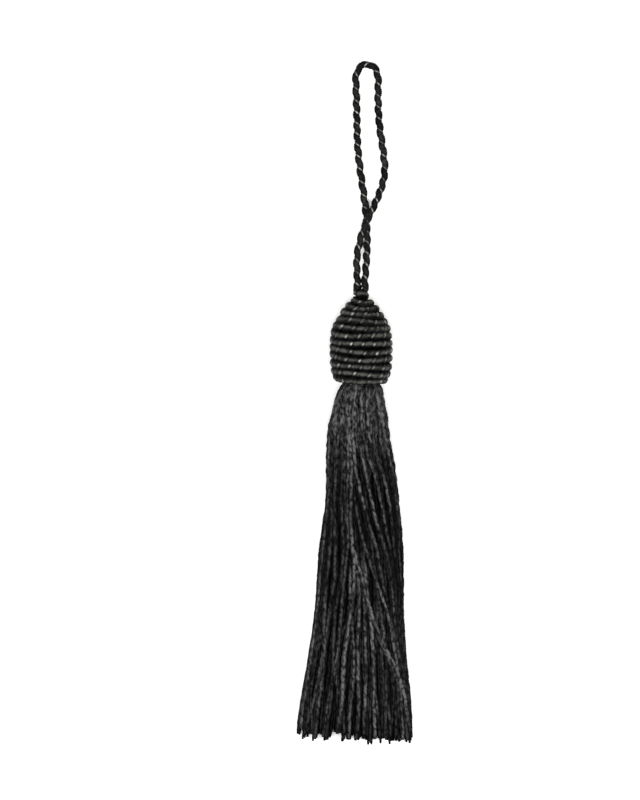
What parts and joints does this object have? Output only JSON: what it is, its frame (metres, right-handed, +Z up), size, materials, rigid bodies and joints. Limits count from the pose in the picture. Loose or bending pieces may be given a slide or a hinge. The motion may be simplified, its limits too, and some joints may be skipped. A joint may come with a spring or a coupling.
{
  "type": "silk tassel",
  "caption": "Black key tassel lying on its side: beehive head wound from twisted cord, long skirt of loose silk threads, and a limp hanging loop of the same cord.",
  "frame": {"origin": "on the floor, under the middle of the head and skirt", "axes": "+Y along the tassel from its cut ends to its head and loop, +Z up from the floor, +X to the right seen from above with the head away"},
  "size_m": [0.0326, 0.1917, 0.0168],
  "materials": {
    "wound_cord": "black twisted silk cord bound with fine silvery thread",
    "silk_thread": "black twisted silk threads with a soft sheen",
    "twisted_cord": "black twisted silk cord bound with fine silvery thread"
  },
  "bodies": {
    "root": {"head": "wound_cord", "skirt": "silk_thread", "hanging_loop": "twisted_cord"}
  },
  "joints": []
}
